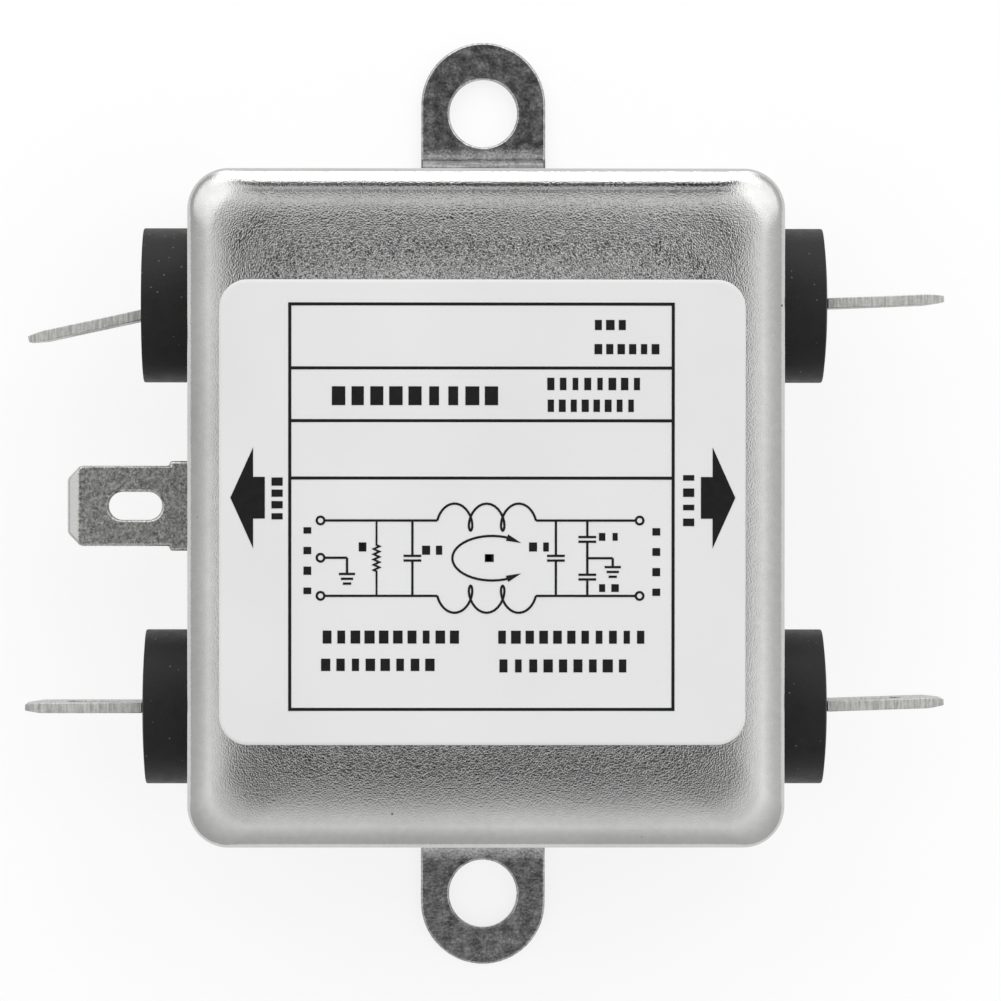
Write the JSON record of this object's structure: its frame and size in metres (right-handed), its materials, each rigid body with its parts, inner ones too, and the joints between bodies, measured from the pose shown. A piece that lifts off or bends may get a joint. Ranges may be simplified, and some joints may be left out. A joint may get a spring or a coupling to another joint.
{
  "type": "emi line filter",
  "caption": "Chassis-mount EMI line filter in a drawn steel can with two mounting ears, blade terminals in black bushings and a ground blade.",
  "frame": {"origin": "midway between the two mounting holes, on the plane that the filter is bolted to", "axes": "+Z out of the labelled face, +X towards the load side, -X towards the line side with the ground blade, +Y along the line between the mounting holes"},
  "size_m": [0.0724, 0.075, 0.0292],
  "materials": {
    "nickel_plated_can": "satin nickel plate on drawn steel",
    "plated_steel_plate": "dull plated steel sheet",
    "label_film": "matt white film",
    "printing_ink": "matt black ink",
    "bushing_plastic": "turned black thermoset plastic",
    "vulcanised_fibre": "matt red fibre",
    "tinned_brass": "dull tin plate",
    "tinned_steel": "dull tin plate",
    "insulating_paper": "pressed insulating paper",
    "potting_resin": "cast resin",
    "ferrite": "sintered ferrite",
    "moulded_nylon": "moulded nylon",
    "enamelled_copper": "clear enamelled copper",
    "film_capacitor": "moulded box",
    "ceramic_disc": "dipped lacquer",
    "resistor_body": "lacquered film resistor",
    "green_sleeving": "smooth sleeving"
  },
  "bodies": {
    "root": {"case_can": "nickel_plated_can", "base_plate": "plated_steel_plate", "label": "label_film", "label_print": "printing_ink", "line_bushing_upper": "bushing_plastic", "line_washer_upper": "vulcanised_fibre", "line_terminal_upper": "tinned_brass", "line_bushing_lower": "bushing_plastic", "line_washer_lower": "vulcanised_fibre", "line_terminal_lower": "tinned_brass", "load_bushing_upper": "bushing_plastic", "load_washer_upper": "vulcanised_fibre", "load_terminal_upper": "tinned_brass", "load_bushing_lower": "bushing_plastic", "load_washer_lower": "vulcanised_fibre", "load_terminal_lower": "tinned_brass", "ground_tab": "tinned_steel", "insulating_liner": "insulating_paper", "resin_bed": "potting_resin", "choke_core": "ferrite", "choke_divider": "moulded_nylon", "choke_winding_upper": "enamelled_copper", "choke_winding_lower": "enamelled_copper", "x_capacitor_line": "film_capacitor", "x_capacitor_load": "film_capacitor", "y_capacitor_upper": "ceramic_disc", "y_capacitor_lower": "ceramic_disc", "bleed_resistor": "resistor_body", "ground_wire": "green_sleeving"}
  },
  "joints": []
}
